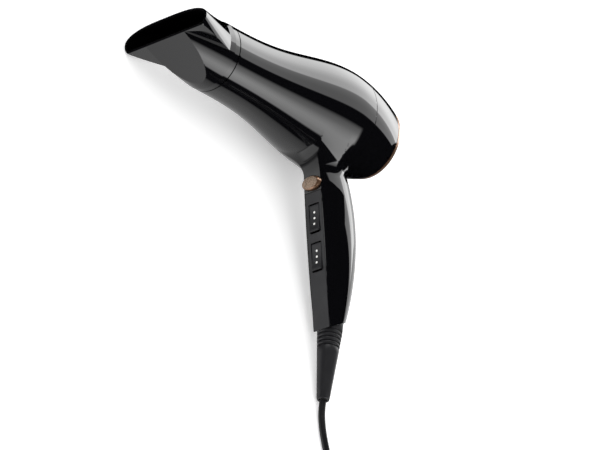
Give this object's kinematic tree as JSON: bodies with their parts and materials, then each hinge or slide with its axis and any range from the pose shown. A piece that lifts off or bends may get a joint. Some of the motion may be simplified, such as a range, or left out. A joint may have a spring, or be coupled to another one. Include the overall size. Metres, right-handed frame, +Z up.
{
  "type": "hair dryer",
  "caption": "Hand-held hair dryer lying on its side: rounded barrel, swivelling flat nozzle, handle with two rockers and a cool-shot button, rear intake ring and corded plug.",
  "frame": {"origin": "on the table surface, under the middle of the dryer without its free cord", "axes": "+X along the barrel towards the rear intake, +Y up the handle towards the barrel (the handle points to -Y), +Z up from the table, through the dryer from its right side to its left"},
  "size_m": [0.3305, 0.3977, 0.0788],
  "materials": {
    "gloss_black": "high-gloss moulded ABS",
    "satin_black": "satin moulded nylon",
    "bronze": "bronze-coloured lacquer on ABS",
    "mica": "mica sheet",
    "nickel": "nickel alloy wire and plating",
    "steel": "zinc-plated steel",
    "sintered_bronze": "oil-soaked sintered bronze",
    "copper": "enamelled copper",
    "board_green": "solder-masked laminate",
    "component_black": "moulded phenolic",
    "component_yellow": "polyester film case",
    "cord_black": "matt PVC",
    "white_mark": "pad-printed white ink"
  },
  "bodies": {
    "body": {"housing": "gloss_black", "rear_cap": "gloss_black", "front_cover": "gloss_black", "outlet_spigot": "satin_black", "outlet_grille": "satin_black", "heater_sleeve": "mica", "heater_cross": "mica", "heating_coils": "nickel", "thermostat": "steel", "thermal_fuse": "nickel", "fan_duct": "satin_black", "motor_can": "steel", "motor_magnets": "component_black", "motor_end_cap": "satin_black", "motor_bearings": "sintered_bronze", "rectifier_board": "board_green", "rectifier_diodes": "component_black", "button_spring": "nickel", "cool_shot_switch": "component_black", "upper_switch": "component_black", "lower_switch": "component_black", "switch_board": "board_green", "suppressor_capacitor": "component_yellow", "cord_clamp": "satin_black", "clamp_screws": "steel", "power_leads": "copper", "strain_relief": "satin_black", "power_cord": "cord_black", "cord_coil": "cord_black", "cord_tie": "satin_black", "plug_body": "cord_black", "plug_pins": "nickel"},
    "nozzle_ring": {"nozzle_grip_ring": "satin_black"},
    "nozzle": {"nozzle_shell": "gloss_black"},
    "rotor": {"motor_shaft": "steel", "motor_armature": "copper", "impeller": "satin_black"},
    "rear_filter": {"grille_ring": "bronze", "rear_grille": "satin_black", "filter_mesh": "steel"},
    "cool_shot": {"cool_shot_button": "bronze"},
    "upper_rocker": {"upper_rocker": "satin_black"},
    "lower_rocker": {"lower_rocker": "satin_black"}
  },
  "joints": [
    {"name": "nozzle_pull", "type": "slide", "parent": "body", "child": "nozzle_ring", "axis": [-1, 0, 0], "range_m": [0, 0.018]},
    {"name": "nozzle_swivel", "type": "hinge", "parent": "nozzle_ring", "child": "nozzle", "pos_m": [-0.0605, 0.09018, 0.0394], "axis": [-1, 0, 0], "continuous": true},
    {"name": "fan_spin", "type": "hinge", "parent": "body", "child": "rotor", "pos_m": [0.0765, 0.09018, 0.0394], "axis": [1, 0, 0], "continuous": true},
    {"name": "filter_twist", "type": "hinge", "parent": "body", "child": "rear_filter", "pos_m": [0.1095, 0.09018, 0.0394], "axis": [1, 0, 0], "range_deg": [0, 25]},
    {"name": "cool_shot_press", "type": "slide", "parent": "body", "child": "cool_shot", "axis": [0.991, 0.1323, 0.0211], "range_m": [0, 0.002], "stiffness_N_per_m": 400, "deforming": ["button_spring"]},
    {"name": "upper_select", "type": "hinge", "parent": "body", "child": "upper_rocker", "pos_m": [0.0564, 0.00791, 0.02631], "axis": [0, 0.1572, -0.9876], "range_deg": [-7, 7]},
    {"name": "lower_select", "type": "hinge", "parent": "body", "child": "lower_rocker", "pos_m": [0.06035, -0.02093, 0.02172], "axis": [0, 0.1572, -0.9876], "range_deg": [-7, 7]}
  ]
}
